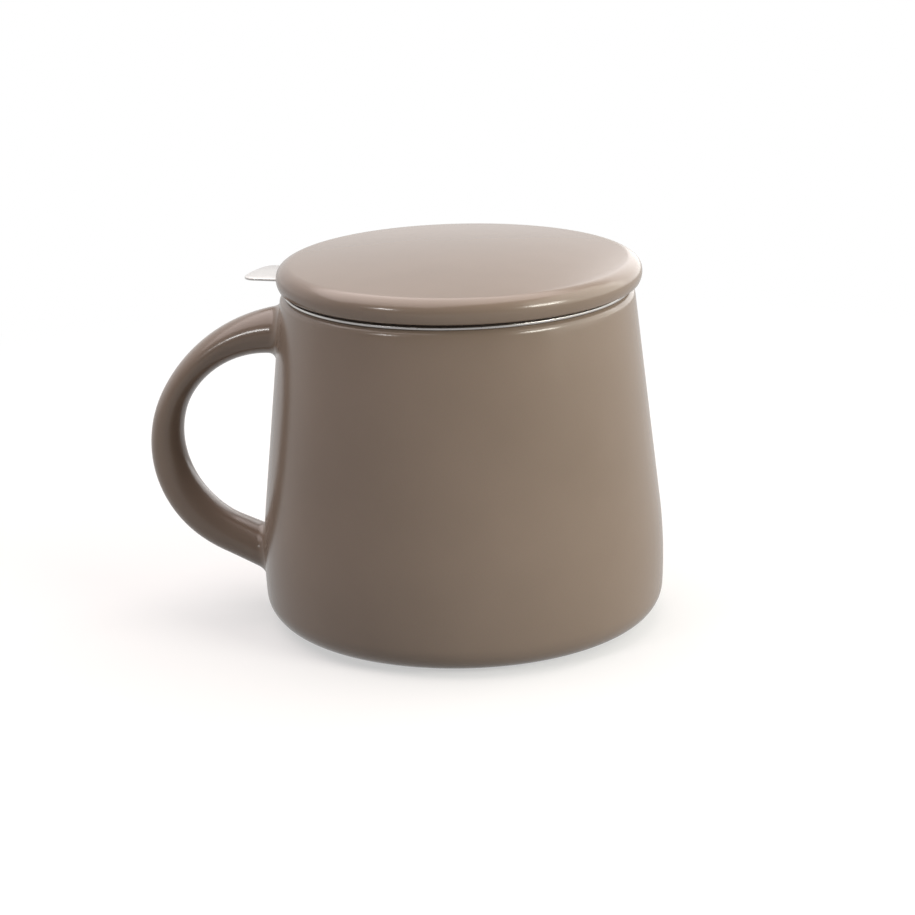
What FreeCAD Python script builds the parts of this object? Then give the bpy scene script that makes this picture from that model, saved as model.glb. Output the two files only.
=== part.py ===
import FreeCAD, Part
import math
import os
import Sketcher

# Lidded stoneware tea mug with a lift-out steel infuser.
# Millimetres, +Z up, origin on the mug's axis at the plane it stands on, handle towards -X.

# Driving sizes: one row each, with the name used everywhere else and what it measures.
SIZES = (
    ("mug_height", "83.1", "standing plane to the top of the lip"),
    ("mouth_radius", "39.0", "inside of the mouth"),
    ("wall", "4.25", "stoneware wall, measured across the lip"),
    ("belly_radius", "50.0", "outside of the mug at its widest"),
    ("belly_height", "15.2", "height of the widest place"),
    ("belly_arc", "126.0", "radius of the swelling between base corner and straight wall"),
    ("base_corner", "7.1", "outer rounding where the wall turns under"),
    ("inner_corner", "12.0", "rounding where the inner wall meets the floor"),
    ("floor_height", "6.0", "inside floor above the standing plane"),
    ("lip_round_outer", "2.0", "outer rounding of the lip"),
    ("lip_round_inner", "1.8", "inner rounding of the lip"),
    ("foot_inset", "9.5", "outside of the unglazed foot ring, in from the belly"),
    ("foot_width", "4.5", "foot ring, outside to inside"),
    ("foot_height", "0.8", "foot ring below the base"),
    ("foot_recess", "1.8", "depth of the hollow inside the foot ring"),
    ("foot_round", "0.35", "softened edges of the foot ring"),
    ("handle_root_drop", "11.0", "grip centre line where it starts, below the lip"),
    ("handle_root_inset", "3.25", "that start, in from the outside of the lip"),
    ("handle_foot_height", "12.75", "grip centre line where it ends, above the standing plane"),
    ("handle_foot_inset", "6.0", "that end, in from the belly"),
    ("handle_standout", "24.7", "grip centre line at its furthest, out from the belly"),
    ("handle_bulge_lift", "0.83", "that furthest place, above halfway between start and end"),
    ("handle_side_tuck", "3.45", "outer and lower bend, less than half the height from end to start"),
    ("handle_top_ease", "5.9", "upper bend's radius, more than the lower one's"),
    ("handle_width", "12.0", "grip across, square to its plane"),
    ("handle_flare_width", "16.5", "grip across at both ends"),
    ("handle_root_depth", "13.5", "grip thickness at the upper end"),
    ("handle_top_depth", "8.7", "grip thickness on the upper bend"),
    ("handle_slim_depth", "6.95", "grip thickness at its slimmest"),
    ("handle_low_depth", "10.0", "grip thickness on the lower bend"),
    ("handle_foot_depth", "10.6", "grip thickness at the lower end"),
    ("lid_radius", "44.65", "outside of the lid"),
    ("lid_edge_height", "3.45", "lid's widest place above the flange it rests on"),
    ("lid_rise", "0.276", "domed top over the rounding of its edge, above that rounding's centre"),
    ("lid_dome_arc", "400.0", "radius of the gently domed top"),
    ("lid_shoulder_arc", "5.0", "rounding from the dome to the edge"),
    ("lid_edge_arc", "3.0", "rounding of the edge above its widest place"),
    ("lid_under_edge_arc", "4.5", "rounding of the edge below its widest place"),
    ("lid_under_arc", "1.0", "rounding from the edge to the underside"),
    ("lid_rest_step", "0.85", "resting ring below the lid's underside"),
    ("lid_rest_inset", "2.0", "resting ring inside the flange's edge"),
    ("lid_ceiling", "1.8", "hollow under the lid, above the flange"),
    ("spigot_depth", "5.0", "locating ring below the flange"),
    ("spigot_wall", "3.2", "locating ring, outside to inside"),
    ("spigot_play", "1.0", "locating ring to infuser, all round"),
    ("spigot_round", "0.8", "rounding of the locating ring's lower edges"),
    ("rim_sheet", "0.6", "sheet of the infuser's rim"),
    ("flange_lap", "3.35", "rim flange beyond the mouth"),
    ("collar_play", "0.8", "infuser collar to mouth, all round"),
    ("collar_depth", "10.0", "collar below the lip"),
    ("collar_bend", "0.6", "inside of the bend from flange to collar"),
    ("tab_reach", "56.0", "tip of the lifting tab from the axis"),
    ("tab_bearing", "15.4", "tab direction, degrees from the handle"),
    ("tab_half_angle", "8.3", "tab sides, degrees each side of its middle"),
    ("tab_end_arc", "29.0", "curve of the tab's tip"),
    ("tab_corner", "2.9", "rounding of the tab's corners"),
    ("basket_sheet", "0.4", "perforated sheet of the basket"),
    ("basket_depth", "63.0", "lip to the underside of the basket"),
    ("collar_lap", "6.0", "basket wall inside the collar"),
    ("seam_gap", "0.1", "solder between lapped sheets"),
    ("base_upturn", "4.0", "height of the base's turned-up edge"),
    ("base_bend", "0.5", "inside of the base's bend"),
    ("hole_diameter", "1.6", "perforations"),
    ("hole_margin", "3.5", "plain band beyond the wall's first and last holes"),
    ("wall_hole_rows", "7", "rows of holes up the wall"),
    ("wall_hole_columns", "36", "holes around the wall in each row"),
    ("base_hole_pitch", "6.6", "ring to ring in the base"),
    ("base_hole_rings", "4", "rings of holes in the base"),
)


class Size:
    """A length that carries its value and the sheet formula it comes from."""

    def __init__(self, value, formula):
        self.value = value
        self.formula = formula

    def joined(self, other, sign, value):
        other = as_size(other)
        return Size(value(self.value, other.value), "(%s %s %s)" % (self.formula, sign, other.formula))

    def __add__(self, other):
        return self.joined(other, "+", lambda a, b: a + b)

    def __sub__(self, other):
        return self.joined(other, "-", lambda a, b: a - b)

    def __mul__(self, other):
        return self.joined(other, "*", lambda a, b: a * b)

    def __truediv__(self, other):
        return self.joined(other, "/", lambda a, b: a / b)

    def __neg__(self):
        return Size(-self.value, "(0 - %s)" % self.formula)


def as_size(number):
    return number if isinstance(number, Size) else Size(float(number), repr(number))


def leg(long_side, short_side):
    """The other short side of a right-angled triangle."""
    value = math.sqrt(long_side.value ** 2 - short_side.value ** 2)
    return Size(value, "sqrt(%s ^ 2 - %s ^ 2)" % (long_side.formula, short_side.formula))


def tangent(degrees):
    return Size(math.tan(math.radians(degrees.value)), "tan(%s * 1 deg)" % degrees.formula)


class Sheet:
    """The spreadsheet of driving sizes; each is read as an attribute of the same name."""

    def __init__(self, doc, rows):
        self.sheet = doc.addObject("Spreadsheet::Sheet", "Sizes")
        for row, (name, number, note) in enumerate(rows, start=1):
            self.sheet.set("A%d" % row, name)
            self.sheet.set("B%d" % row, number)
            self.sheet.set("C%d" % row, note)
            self.sheet.setAlias("B%d" % row, name)
            setattr(self, name, Size(float(number), "Sizes." + name))
        doc.recompute()


def bind(feature, prop, size):
    """Ties a feature's property to the sheet."""
    feature.setExpression(prop, as_size(size).formula)


def datum(sketch, kind, refs, size):
    """Adds a dimension to a sketch and ties it to the sheet."""
    size = as_size(size)
    index = sketch.addConstraint(Sketcher.Constraint(kind, *refs, size.value))
    sketch.setExpression("Constraints[%d]" % index, size.formula)


def pin(sketch, geo, pos, x, z):
    """Places a sketch point; None leaves a direction free, and zero puts it on the axis."""
    for size, kind, axis in ((x, "DistanceX", -2), (z, "DistanceY", -1)):
        if size is None:
            continue
        if as_size(size).value == 0:
            sketch.addConstraint(Sketcher.Constraint("PointOnObject", geo, pos, axis))
        else:
            datum(sketch, kind, (-1, 1, geo, pos), size)


def new_sketch(body, name, plane, raised=None, turned=None):
    """A sketch on one of the body's own planes, moved along its normal or turned about it."""
    sketch = body.newObject("Sketcher::SketchObject", name)
    support = [f for f in body.Origin.OriginFeatures if f.Role == plane][0]
    sketch.AttachmentSupport = (support, [""])
    sketch.MapMode = "FlatFace"
    if raised is not None:
        bind(sketch, ".AttachmentOffset.Base.z", raised)
    if turned is not None:
        start = FreeCAD.Rotation(FreeCAD.Vector(0, 0, 1), turned.value)
        sketch.AttachmentOffset = FreeCAD.Placement(FreeCAD.Vector(0, 0, raised.value), start)
        bind(sketch, ".AttachmentOffset.Rotation.Angle", turned)
    return sketch


def flat(point):
    return FreeCAD.Vector(as_size(point[0]).value, as_size(point[1]).value, 0)


class Outline:
    """A chain of lines and arcs. at= fixes an end; near= is where tangency will put one."""

    def __init__(self, sketch, start):
        self.sketch = sketch
        self.here = flat(start)
        self.start = start
        self.first = None
        self.last = None

    def joined(self, geo, head, tail, end, at, smooth):
        if self.last is None:
            self.first = (geo, head)
            pin(self.sketch, geo, head, *self.start)
        else:
            kind = "Tangent" if smooth else "Coincident"
            self.sketch.addConstraint(Sketcher.Constraint(kind, self.last[0], self.last[1], geo, head))
        self.last = (geo, tail)
        self.here = end
        if at is not None:
            pin(self.sketch, geo, tail, *at)
        return geo

    def line(self, at=None, near=None, smooth=False, level=False):
        end = flat(near or at)
        geo = self.sketch.addGeometry(Part.LineSegment(self.here, end), False)
        if level:
            self.sketch.addConstraint(Sketcher.Constraint("Horizontal", geo))
        return self.joined(geo, 1, 2, end, at, smooth)

    def arc(self, centre, radius, at=None, near=None, clockwise=False, smooth=True, fix=(None, None)):
        end = flat(near or at)
        middle = flat(centre)
        first, second = (end, self.here) if clockwise else (self.here, end)
        angles = [math.atan2(p.y - middle.y, p.x - middle.x) for p in (first, second)]
        circle = Part.Circle(middle, FreeCAD.Vector(0, 0, 1), as_size(radius).value)
        geo = self.sketch.addGeometry(Part.ArcOfCircle(circle, *angles), False)
        head, tail = (2, 1) if clockwise else (1, 2)
        self.joined(geo, head, tail, end, at, smooth)
        datum(self.sketch, "Radius", (geo,), radius)
        pin(self.sketch, geo, 3, *fix)
        return geo

    def close(self):
        end = flat(self.start)
        geo = self.sketch.addGeometry(Part.LineSegment(self.here, end), False)
        self.joined(geo, 1, 2, end, None, False)
        self.sketch.addConstraint(Sketcher.Constraint("Coincident", geo, 2, *self.first))


def meet(one, reach_one, two, reach_two, side):
    """The point at given distances from two others, on the chosen side of the line between them."""
    along = math.dist(one, two)
    foot = (reach_one ** 2 - reach_two ** 2 + along ** 2) / (2 * along)
    off = side * math.sqrt(reach_one ** 2 - foot ** 2)
    ux, uz = (two[0] - one[0]) / along, (two[1] - one[1]) / along
    return one[0] + foot * ux - off * uz, one[1] + foot * uz + off * ux


def beyond(one, two, reach):
    """The point at a distance from one, in the direction of two."""
    along = math.dist(one, two)
    return tuple(a + (b - a) * reach / along for a, b in zip(one, two))


def new_body(doc, label):
    body = doc.addObject("PartDesign::Body", label)
    body.Label = label
    return body


def turned_about_axis(body, sketch, name):
    """Revolves a half section about the mug's axis."""
    solid = body.newObject("PartDesign::Revolution", name)
    solid.Profile = (sketch, [""])
    solid.ReferenceAxis = (sketch, ["V_Axis"])
    solid.Angle = 360
    body.Document.recompute()
    return solid


def rounded(body, base, name, radius, circles):
    """Fillets the circular edges of the given radius and height."""
    found = []
    for index, edge in enumerate(base.Shape.Edges, start=1):
        if edge.Degenerated or not isinstance(edge.Curve, Part.Circle):
            continue
        for ring, height in circles:
            right_ring = abs(edge.Curve.Radius - ring.value) < 0.001
            if right_ring and abs(edge.Curve.Center.z - height.value) < 0.001:
                found.append("Edge%d" % index)
    fillet = body.newObject("PartDesign::Fillet", name)
    fillet.Base = (base, found)
    bind(fillet, "Radius", radius)
    body.Document.recompute()
    return fillet


def lip_radius(s):
    return s.mouth_radius + s.wall


def belly_centre(s):
    return s.belly_radius - s.belly_arc, s.belly_height


def side_points(s, top, inset):
    """Tangent points of the wall inset from the outside: taper to belly, and belly's centre."""
    centre = [c.value for c in belly_centre(s)]
    reach = (s.belly_arc - inset).value
    middle = ((centre[0] + top[0]) / 2, (centre[1] + top[1]) / 2)
    half = math.dist(centre, middle)
    return meet(centre, reach, middle, half, -1), centre


def mug_side(outline, s):
    """The mug's outside from the lip down to the foot ring: taper, belly and base corner."""
    top = (outline.here.x, outline.here.y)
    taper_end, centre = side_points(s, top, as_size(0))
    corner_z = (s.foot_height + s.base_corner).value
    corner_reach = (s.belly_arc - s.base_corner).value
    corner_x = centre[0] + math.sqrt(corner_reach ** 2 - (corner_z - centre[1]) ** 2)
    corner = (corner_x, corner_z)
    belly_end = beyond(centre, corner, s.belly_arc.value)
    outline.line(near=taper_end)
    outline.arc(centre, s.belly_arc, near=belly_end, clockwise=True, fix=belly_centre(s))
    outline.arc(corner, s.base_corner, near=(corner_x, s.foot_height.value), clockwise=True)


def mug_body(doc, s):
    """Thick stoneware cup, wider at the base, on a low foot ring."""
    body = new_body(doc, "mug_body")
    sketch = new_sketch(body, "cup_section", "XZ_Plane")
    foot_outside = s.belly_radius - s.foot_inset
    foot_inside = foot_outside - s.foot_width
    outline = Outline(sketch, (lip_radius(s), s.mug_height))
    mug_side(outline, s)
    outline.line(at=(foot_outside, s.foot_height), smooth=True, level=True)
    outline.line(at=(foot_outside, 0))
    outline.line(at=(foot_inside, 0))
    outline.line(at=(foot_inside, s.foot_recess))
    outline.line(at=(0, s.foot_recess))
    outline.line(at=(0, s.floor_height))
    taper_end, centre = side_points(s, (s.mouth_radius.value, s.mug_height.value), s.wall)
    inner_arc = s.belly_arc - s.wall
    corner_z = (s.floor_height + s.inner_corner).value
    corner_reach = (inner_arc - s.inner_corner).value
    corner_x = centre[0] + math.sqrt(corner_reach ** 2 - (corner_z - centre[1]) ** 2)
    corner = (corner_x, corner_z)
    outline.line(near=(corner_x, s.floor_height.value), level=True)
    outline.arc(corner, s.inner_corner, near=beyond(centre, corner, inner_arc.value))
    outline.arc(centre, inner_arc, near=taper_end, fix=belly_centre(s))
    outline.line(at=(s.mouth_radius, s.mug_height), smooth=True)
    outline.close()
    cup = turned_about_axis(body, sketch, "cup")
    lip = rounded(body, cup, "lip_outside", s.lip_round_outer, [(lip_radius(s), s.mug_height)])
    lip = rounded(body, lip, "lip_inside", s.lip_round_inner, [(s.mouth_radius, s.mug_height)])
    feet = [(foot_outside, as_size(0)), (foot_inside, as_size(0))]
    rounded(body, lip, "foot_edges", s.foot_round, feet)
    return body


def handle_spine(body, s):
    """Centre line of the grip: two bends and a straight run back to the wall, all tangent."""
    root = (s.handle_root_inset - lip_radius(s), s.mug_height - s.handle_root_drop)
    foot = (s.handle_foot_inset - s.belly_radius, s.handle_foot_height)
    half_height = (root[1] - foot[1]) / 2
    side_arc = half_height - s.handle_side_tuck
    top_arc = side_arc + s.handle_top_ease
    side = (side_arc - s.belly_radius - s.handle_standout, foot[1] + half_height + s.handle_bulge_lift)
    side_at = tuple(c.value for c in side)
    root_at = tuple(c.value for c in root)
    foot_at = tuple(c.value for c in foot)
    top_at = meet(root_at, top_arc.value, side_at, s.handle_top_ease.value, 1)
    bend_join = beyond(top_at, side_at, top_arc.value)
    middle = ((side_at[0] + foot_at[0]) / 2, (side_at[1] + foot_at[1]) / 2)
    run_start = meet(side_at, side_arc.value, middle, math.dist(side_at, middle), -1)
    sketch = new_sketch(body, "grip_spine", "XZ_Plane")
    outline = Outline(sketch, root)
    outline.arc(top_at, top_arc, near=bend_join)
    outline.arc(side_at, side_arc, near=run_start, fix=side)
    outline.line(at=foot, smooth=True)
    body.Document.recompute()
    return sketch


def oval(sketch, width, depth):
    """An ellipse about the sketch's origin, width along its first axis."""
    wide = width.value >= depth.value
    long_half, short_half = sorted((width.value / 2, depth.value / 2), reverse=True)
    tip = FreeCAD.Vector(long_half, 0, 0) if wide else FreeCAD.Vector(0, long_half, 0)
    side = FreeCAD.Vector(0, short_half, 0) if wide else FreeCAD.Vector(-short_half, 0, 0)
    geo = sketch.addGeometry(Part.Ellipse(tip, side, FreeCAD.Vector(0, 0, 0)), False)
    sketch.exposeInternalGeometry(geo)
    sketch.addConstraint(Sketcher.Constraint("Coincident", geo, 3, -1, 1))
    sketch.addConstraint(Sketcher.Constraint("Horizontal" if wide else "Vertical", geo + 1))
    datum(sketch, "Distance", (geo + 1,), width if wide else depth)
    datum(sketch, "Distance", (geo + 2,), depth if wide else width)


def eased(one, two, share):
    """A value between two sizes that leaves and arrives level."""
    weight = round(share * share * (3 - 2 * share), 4)
    return one * (1 - weight) + two * weight


def mug_handle(doc, s):
    """Loop grip of oval section, flared where it is luted to the wall and cut to fit it."""
    body = new_body(doc, "mug_handle")
    spine = handle_spine(body, s)
    width, flare = s.handle_width, s.handle_flare_width
    root, top = s.handle_root_depth, s.handle_top_depth
    slim, low, foot = s.handle_slim_depth, s.handle_low_depth, s.handle_foot_depth
    # Each section: edge of the spine, place along it, width and thickness there.
    sections = (
        ("Edge1", 0.0, flare, root),
        ("Edge1", 0.25, eased(flare, width, 0.62), eased(root, top, 0.55)),
        ("Edge1", 0.5, eased(flare, width, 0.92), top),
        ("Edge1", 0.75, width, eased(top, slim, 0.66)),
        ("Edge1", 1.0, width, slim),
        ("Edge2", 0.25, width, eased(slim, low, 0.36)),
        ("Edge2", 0.5, width, eased(slim, low, 0.66)),
        ("Edge2", 0.75, width, low),
        ("Edge2", 1.0, eased(width, flare, 0.12), eased(low, foot, 0.05)),
        ("Edge3", 0.5, eased(width, flare, 0.5), eased(low, foot, 0.42)),
        ("Edge3", 1.0, flare, foot),
    )
    profiles = []
    for number, (edge, place, across, deep) in enumerate(sections):
        sketch = body.newObject("Sketcher::SketchObject", "grip_section_%d" % number)
        sketch.AttachmentSupport = [(spine, edge)]
        sketch.MapMode = "NormalToEdge"
        sketch.MapPathParameter = place
        if edge == "Edge3":
            # A straight edge maps its sketch half a turn round from an arc's.
            half_turn = FreeCAD.Rotation(FreeCAD.Vector(0, 0, 1), 180)
            sketch.AttachmentOffset = FreeCAD.Placement(FreeCAD.Vector(), half_turn)
        oval(sketch, across, deep)
        profiles.append(sketch)
    doc.recompute()
    grip = body.newObject("PartDesign::AdditiveLoft", "grip")
    grip.Profile = profiles[0]
    grip.Sections = profiles[1:]
    doc.recompute()
    seat = new_sketch(body, "wall_seat", "XZ_Plane")
    outline = Outline(seat, (lip_radius(s), s.mug_height))
    mug_side(outline, s)
    outline.line(at=(0, s.foot_height), smooth=True, level=True)
    outline.line(at=(0, s.mug_height))
    outline.close()
    cut = body.newObject("PartDesign::Groove", "cut_to_wall")
    cut.Profile = (seat, [""])
    cut.ReferenceAxis = (seat, ["V_Axis"])
    cut.Angle = 360
    doc.recompute()
    return body


def flange_top(s):
    return s.mug_height + s.rim_sheet


def collar_radius(s):
    return s.mouth_radius - s.collar_play


def basket_radius(s):
    return collar_radius(s) - s.rim_sheet - s.seam_gap


def basket_bottom(s):
    return s.mug_height - s.basket_depth


def lid(doc, s):
    """Stoneware disc with a soft edge, a resting ring and a locating ring underneath."""
    body = new_body(doc, "lid")
    rest = flange_top(s)
    edge_z = rest + s.lid_edge_height
    under = rest + s.lid_rest_step
    rest_radius = s.mouth_radius + s.flange_lap - s.lid_rest_inset
    spigot = basket_radius(s) - s.basket_sheet - s.spigot_play
    bore = spigot - s.spigot_wall
    low_side = (s.lid_radius - s.lid_under_edge_arc, edge_z)
    high_side = (s.lid_radius - s.lid_edge_arc, edge_z)
    low_at = tuple(c.value for c in low_side)
    high_at = tuple(c.value for c in high_side)
    under_z = (under + s.lid_under_arc).value
    under_reach = (s.lid_under_edge_arc - s.lid_under_arc).value
    under_x = low_at[0] + math.sqrt(under_reach ** 2 - (under_z - low_at[1]) ** 2)
    under_at = (under_x, under_z)
    over_edge = edge_z + s.lid_edge_arc + s.lid_rise
    dome_z = over_edge - leg(s.lid_dome_arc, s.lid_radius - s.lid_edge_arc)
    dome_at = (0.0, dome_z.value)
    shoulder_reach = (s.lid_shoulder_arc - s.lid_edge_arc).value
    dome_reach = (s.lid_dome_arc - s.lid_shoulder_arc).value
    shoulder_at = meet(high_at, shoulder_reach, dome_at, dome_reach, -1)
    sketch = new_sketch(body, "lid_section", "XZ_Plane")
    outline = Outline(sketch, (bore, rest - s.spigot_depth))
    outline.line(at=(spigot, rest - s.spigot_depth))
    outline.line(at=(spigot, rest))
    outline.line(at=(rest_radius, rest))
    outline.line(at=(rest_radius, under))
    outline.line(near=(under_x, under.value), level=True)
    outline.arc(under_at, s.lid_under_arc, near=beyond(low_at, under_at, s.lid_under_edge_arc.value))
    widest = (s.lid_radius, edge_z)
    outline.arc(low_at, s.lid_under_edge_arc, near=widest, at=(None, edge_z), fix=low_side)
    outline.arc(high_at, s.lid_edge_arc, near=beyond(shoulder_at, high_at, s.lid_shoulder_arc.value))
    outline.arc(shoulder_at, s.lid_shoulder_arc,
                near=beyond(dome_at, shoulder_at, s.lid_dome_arc.value))
    outline.arc(dome_at, s.lid_dome_arc, at=(0, dome_z + s.lid_dome_arc), fix=(0, None))
    outline.line(at=(0, rest + s.lid_ceiling))
    outline.line(at=(bore, rest + s.lid_ceiling))
    outline.close()
    disc = turned_about_axis(body, sketch, "disc")
    ring = [(spigot, rest - s.spigot_depth), (bore, rest - s.spigot_depth)]
    rounded(body, disc, "ring_edges", s.spigot_round, ring)
    return body


def infuser_rim(doc, s):
    """Pressed steel rim: a flat flange on the lip, a collar in the mouth and a lifting tab."""
    body = new_body(doc, "infuser_rim")
    outer = s.mouth_radius + s.flange_lap
    collar = collar_radius(s)
    bore = collar - s.rim_sheet
    low, high = s.mug_height, flange_top(s)
    under_bend = (collar + s.collar_bend, low - s.collar_bend)
    end = low - s.collar_depth
    sketch = new_sketch(body, "rim_section", "XZ_Plane")
    outline = Outline(sketch, (outer, low))
    outline.line(at=(outer, high))
    outline.line(at=(under_bend[0], high))
    outline.arc(under_bend, s.collar_bend + s.rim_sheet, at=(bore, under_bend[1]), smooth=False)
    outline.line(at=(bore, end))
    outline.line(at=(collar, end))
    outline.line(at=(collar, under_bend[1]))
    outline.arc(under_bend, s.collar_bend, at=(under_bend[0], low), clockwise=True, smooth=False)
    outline.close()
    turned_about_axis(body, sketch, "flange_and_collar")
    # The tab's middle line lies along the sketch's first axis, turned to its bearing.
    plan = new_sketch(body, "tab_plan", "XY_Plane", raised=low, turned=as_size(180) - s.tab_bearing)
    slope = math.radians(s.tab_half_angle.value)
    tip_centre = (s.tab_reach - s.tab_end_arc, 0)
    inner_x = collar + s.collar_bend * 2
    half_root = inner_x * tangent(s.tab_half_angle)
    tip_x = tip_centre[0].value
    corner_reach = s.tab_corner.value
    # Corner centres lie one corner radius inside both the straight side and the tip's arc.
    away = corner_reach / math.sin(slope)
    side_line = (away, 0.0)
    fold = s.tab_end_arc.value - corner_reach
    offset = tip_x - side_line[0]
    along = offset * math.cos(slope) + math.sqrt(fold ** 2 - (offset * math.sin(slope)) ** 2)
    corner = (side_line[0] + along * math.cos(slope), along * math.sin(slope))
    side_end = (corner[0] - corner_reach * math.sin(slope), corner[1] + corner_reach * math.cos(slope))
    tip_end = beyond((tip_x, 0.0), corner, s.tab_end_arc.value)
    tab = Outline(plan, (inner_x, -half_root))
    lower = tab.line(near=(side_end[0], -side_end[1]))
    tab.arc((corner[0], -corner[1]), s.tab_corner, near=(tip_end[0], -tip_end[1]))
    tab.arc((tip_x, 0.0), s.tab_end_arc, near=tip_end, fix=tip_centre)
    tab.arc(corner, s.tab_corner, near=side_end)
    upper = tab.line(at=(inner_x, half_root), smooth=True)
    tab.close()
    for side in (lower, upper):
        plan.addConstraint(Sketcher.Constraint("PointOnObject", -1, 1, side))
    doc.recompute()
    pad = body.newObject("PartDesign::Pad", "tab")
    pad.Profile = (plan, [""])
    bind(pad, "Length", s.rim_sheet)
    doc.recompute()
    return body


def cylinder(doc, name, radius, low, high):
    """A cylinder on the mug's axis, from low to high."""
    solid = doc.addObject("Part::Cylinder", name)
    bind(solid, "Radius", radius)
    bind(solid, "Height", high - low)
    bind(solid, ".Placement.Base.z", low)
    return solid


def cut(doc, name, base, tool):
    result = doc.addObject("Part::Cut", name)
    result.Label = name
    result.Base = base
    result.Tool = tool
    doc.recompute()
    return result


def wall_hole_pins(doc, s, radius, low, high):
    """Short radial pins, one for each hole of the staggered pattern, between two heights."""
    rows, columns = int(s.wall_hole_rows.value), int(s.wall_hole_columns.value)
    length = s.basket_sheet.value * 4
    pins = []
    for row in range(rows):
        height = low.value + (high.value - low.value) * row / (rows - 1)
        for column in range(columns):
            bearing = 2 * math.pi * (column + row % 2 / 2) / columns
            outward = FreeCAD.Vector(math.cos(bearing), math.sin(bearing), 0)
            start = outward * (radius.value - length / 2) + FreeCAD.Vector(0, 0, height)
            pins.append(Part.makeCylinder(s.hole_diameter.value / 2, length, start, outward))
    feature = doc.addObject("Part::Feature", "wall_hole_pins")
    feature.Shape = Part.makeCompound(pins)
    return feature


def infuser_wall(doc, s):
    """Perforated sheet rolled into a sleeve that hangs from the collar."""
    outside = basket_radius(s)
    low = basket_bottom(s) + s.basket_sheet + s.seam_gap
    high = s.mug_height - s.collar_depth + s.collar_lap
    outer = cylinder(doc, "sleeve_outside", outside, low, high)
    inner = cylinder(doc, "sleeve_inside", outside - s.basket_sheet, low, high)
    sleeve = cut(doc, "sleeve", outer, inner)
    first = basket_bottom(s) + s.base_upturn + s.hole_margin
    last = s.mug_height - s.collar_depth - s.hole_margin
    pins = wall_hole_pins(doc, s, outside, first, last)
    return cut(doc, "infuser_wall", sleeve, pins)


def infuser_base(doc, s):
    """Perforated bottom with a turned-up edge around the sleeve's lower end."""
    body = new_body(doc, "infuser_base")
    low = basket_bottom(s)
    floor = low + s.basket_sheet
    inside = basket_radius(s) + s.seam_gap
    outside = inside + s.basket_sheet
    top = low + s.base_upturn
    bend = (inside - s.base_bend, floor + s.base_bend)
    sketch = new_sketch(body, "base_section", "XZ_Plane")
    outline = Outline(sketch, (0, low))
    outline.line(at=(bend[0], low))
    outline.arc(bend, s.base_bend + s.basket_sheet, at=(outside, bend[1]), smooth=False)
    outline.line(at=(outside, top))
    outline.line(at=(inside, top))
    outline.line(at=(inside, bend[1]))
    outline.arc(bend, s.base_bend, at=(bend[0], floor), clockwise=True, smooth=False)
    outline.line(at=(0, floor))
    outline.close()
    turned_about_axis(body, sketch, "pressed_base")
    holes = new_sketch(body, "base_holes", "XY_Plane", raised=low)
    rings = int(s.base_hole_rings.value)
    places = [(0, 0.0)]
    for ring in range(1, rings + 1):
        count = 6 * ring
        places += [(ring, 2 * math.pi * step / count) for step in range(count)]
    for ring, bearing in places:
        x = s.base_hole_pitch * round(ring * math.cos(bearing), 6)
        y = s.base_hole_pitch * round(ring * math.sin(bearing), 6)
        circle = Part.Circle(flat((x, y)), FreeCAD.Vector(0, 0, 1), s.hole_diameter.value / 2)
        geo = holes.addGeometry(circle, False)
        pin(holes, geo, 3, x, y)
        datum(holes, "Diameter", (geo,), s.hole_diameter)
    doc.recompute()
    drilled = body.newObject("PartDesign::Pocket", "holes")
    drilled.Profile = (holes, [""])
    drilled.Reversed = True
    bind(drilled, "Length", s.basket_sheet * 2)
    doc.recompute()
    return body


def check(doc, bodies):
    """Stops before anything is written if an object failed or a piece is not one sound solid."""
    for thing in doc.Objects:
        bad = [state for state in thing.State if state in ("Invalid", "Error")]
        if bad:
            raise RuntimeError("%s is %s" % (thing.Label, bad))
    for body in bodies:
        shape = body.Shape
        if shape.isNull() or not shape.isValid() or len(shape.Solids) != 1:
            raise RuntimeError("%s is not one sound solid" % body.Label)
        print("%-14s %9.2f mm3 %5d faces" % (body.Label, shape.Volume, len(shape.Faces)))


def main():
    doc = FreeCAD.newDocument("tea_mug")
    s = Sheet(doc, SIZES)
    makers = (mug_body, mug_handle, lid, infuser_rim, infuser_wall, infuser_base)
    bodies = [make(doc, s) for make in makers]
    doc.recompute()
    check(doc, bodies)
    os.makedirs("parts", exist_ok=True)
    for body in bodies:
        body.Shape.exportStep("parts/%s.step" % body.Label)


main()
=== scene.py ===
import math

import bmesh
import bpy
import numpy as np
from mathutils import Matrix, Quaternion, Vector


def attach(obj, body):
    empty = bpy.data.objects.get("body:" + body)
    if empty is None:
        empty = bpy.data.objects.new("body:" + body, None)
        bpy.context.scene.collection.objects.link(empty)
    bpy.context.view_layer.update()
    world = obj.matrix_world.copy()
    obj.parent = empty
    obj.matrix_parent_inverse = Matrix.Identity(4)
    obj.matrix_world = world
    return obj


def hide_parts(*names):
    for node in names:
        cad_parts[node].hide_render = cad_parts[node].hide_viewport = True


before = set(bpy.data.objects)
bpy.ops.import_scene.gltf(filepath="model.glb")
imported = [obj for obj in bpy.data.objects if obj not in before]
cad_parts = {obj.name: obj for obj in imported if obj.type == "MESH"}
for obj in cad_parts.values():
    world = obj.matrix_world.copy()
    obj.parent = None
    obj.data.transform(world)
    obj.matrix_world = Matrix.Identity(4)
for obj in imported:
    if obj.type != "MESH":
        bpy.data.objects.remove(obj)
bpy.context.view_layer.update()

mm = 0.001

# The view is from a little above the lid, 0.66 m away, through a long lens, with the grip
# pointing left and 8 degrees away. The picture is 915 pixels square.
camera_at = Vector((0.08737, -0.62166, 0.23051))
camera_aim = Vector((-0.00102, -0.00015, 0.03982))
camera_roll = math.radians(-1.51)
camera_lens = 103.62
camera_sensor = 36
nearest_seen = 0.01


def shown(name, data):
    """A new object of that name in the scene."""
    made = bpy.data.objects.new(name, data)
    bpy.context.scene.collection.objects.link(made)
    return made


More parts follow.
